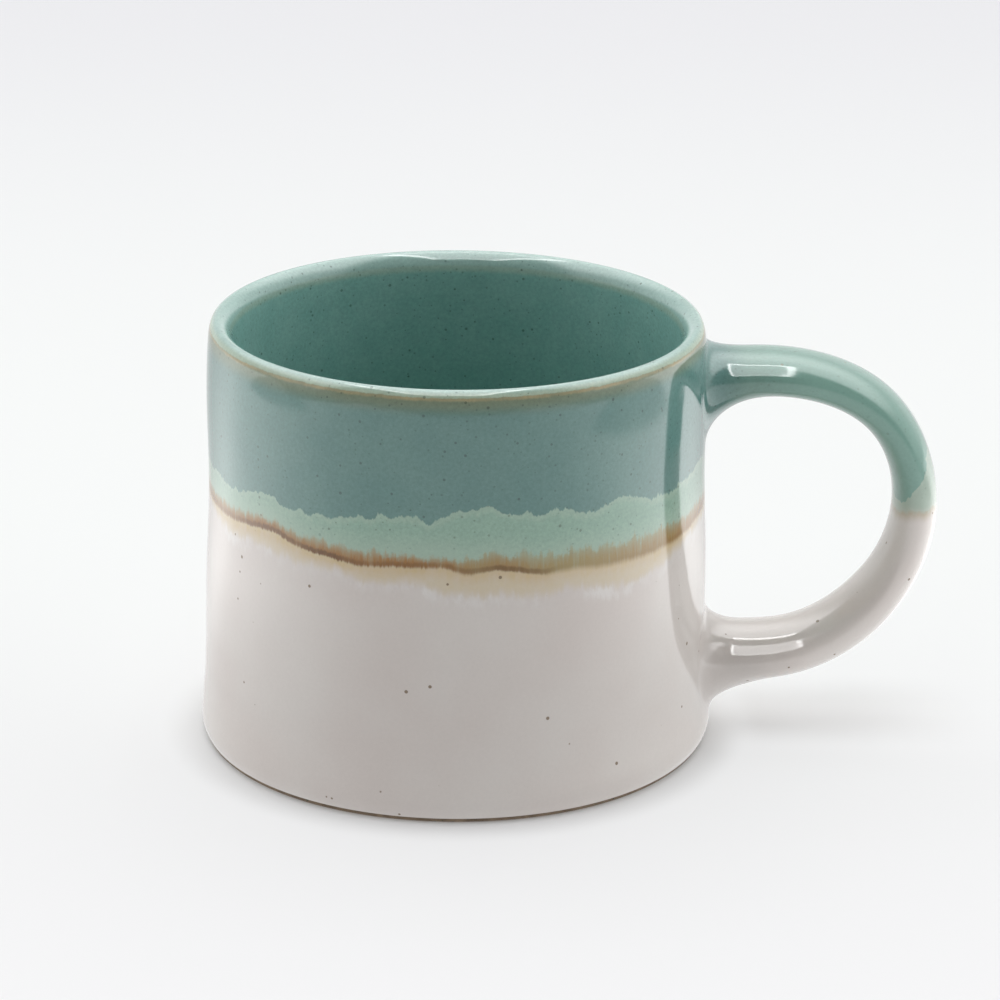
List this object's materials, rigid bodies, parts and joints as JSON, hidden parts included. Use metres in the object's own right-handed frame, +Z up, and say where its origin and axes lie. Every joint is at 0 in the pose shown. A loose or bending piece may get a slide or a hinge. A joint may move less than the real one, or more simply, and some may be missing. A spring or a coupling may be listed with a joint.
{
  "type": "ceramic mug",
  "caption": "Wide, low stoneware mug with an oval strap loop handle, a rounded lip, a flared base and a bare clay foot ring, glazed teal over warm light grey.",
  "frame": {"origin": "centre of the foot ring, on the plane the mug stands on and on the cup's turning axis", "axes": "+Z up along the cup's axis, +X towards the handle, +Y completes a right-handed frame"},
  "size_m": [0.1424, 0.1002, 0.083],
  "materials": {
    "stoneware": "unglazed, matt, fired light brown",
    "liner_glaze": "glossy deep teal with fine dark specks",
    "teal_glaze": "glossy teal with dark iron specks",
    "overlap_glaze": "glossy mint breaking to rust brown at its lower edge",
    "grey_glaze": "glossy warm light grey with sparse brown specks"
  },
  "bodies": {
    "root": {"cup_body": "stoneware", "handle": "stoneware", "upper_slip_joint": "stoneware", "lower_slip_joint": "stoneware", "liner_glaze": "liner_glaze", "upper_glaze": "teal_glaze", "overlap_glaze": "overlap_glaze", "lower_glaze": "grey_glaze", "handle_upper_glaze": "teal_glaze", "handle_lower_glaze": "grey_glaze", "base_glaze": "grey_glaze"}
  },
  "joints": []
}
